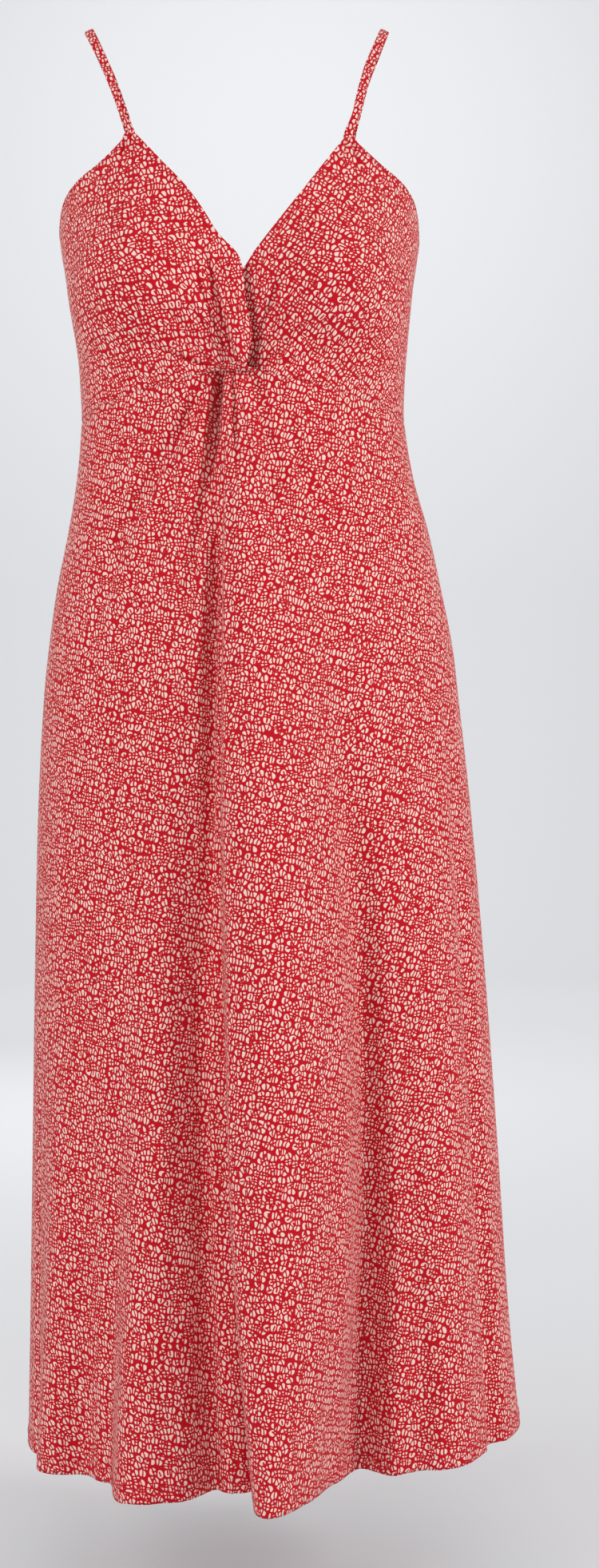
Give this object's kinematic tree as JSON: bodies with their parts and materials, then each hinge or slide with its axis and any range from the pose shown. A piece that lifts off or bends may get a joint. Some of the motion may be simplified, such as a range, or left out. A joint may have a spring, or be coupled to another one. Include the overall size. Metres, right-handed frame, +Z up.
{
  "type": "slip dress",
  "caption": "Sleeveless V-neck slip dress in printed jersey, twisted under the bust, with a long A-line skirt and thin shoulder straps.",
  "frame": {"origin": "midway between the places where the two straps lie on the shoulders, at the height of the straps' undersides", "axes": "+Z up, -Y the way the wearer faces, +X the wearer's left"},
  "size_m": [0.452, 0.4144, 1.2696],
  "materials": {
    "printed_jersey": "matte soft jersey, red with a small cream animal print"
  },
  "bodies": {
    "root": {"bodice_back": "printed_jersey", "cup_left": "printed_jersey", "cup_right": "printed_jersey", "skirt_back": "printed_jersey", "skirt_front": "printed_jersey", "strap_left": "printed_jersey", "strap_right": "printed_jersey", "twist": "printed_jersey"}
  },
  "joints": []
}
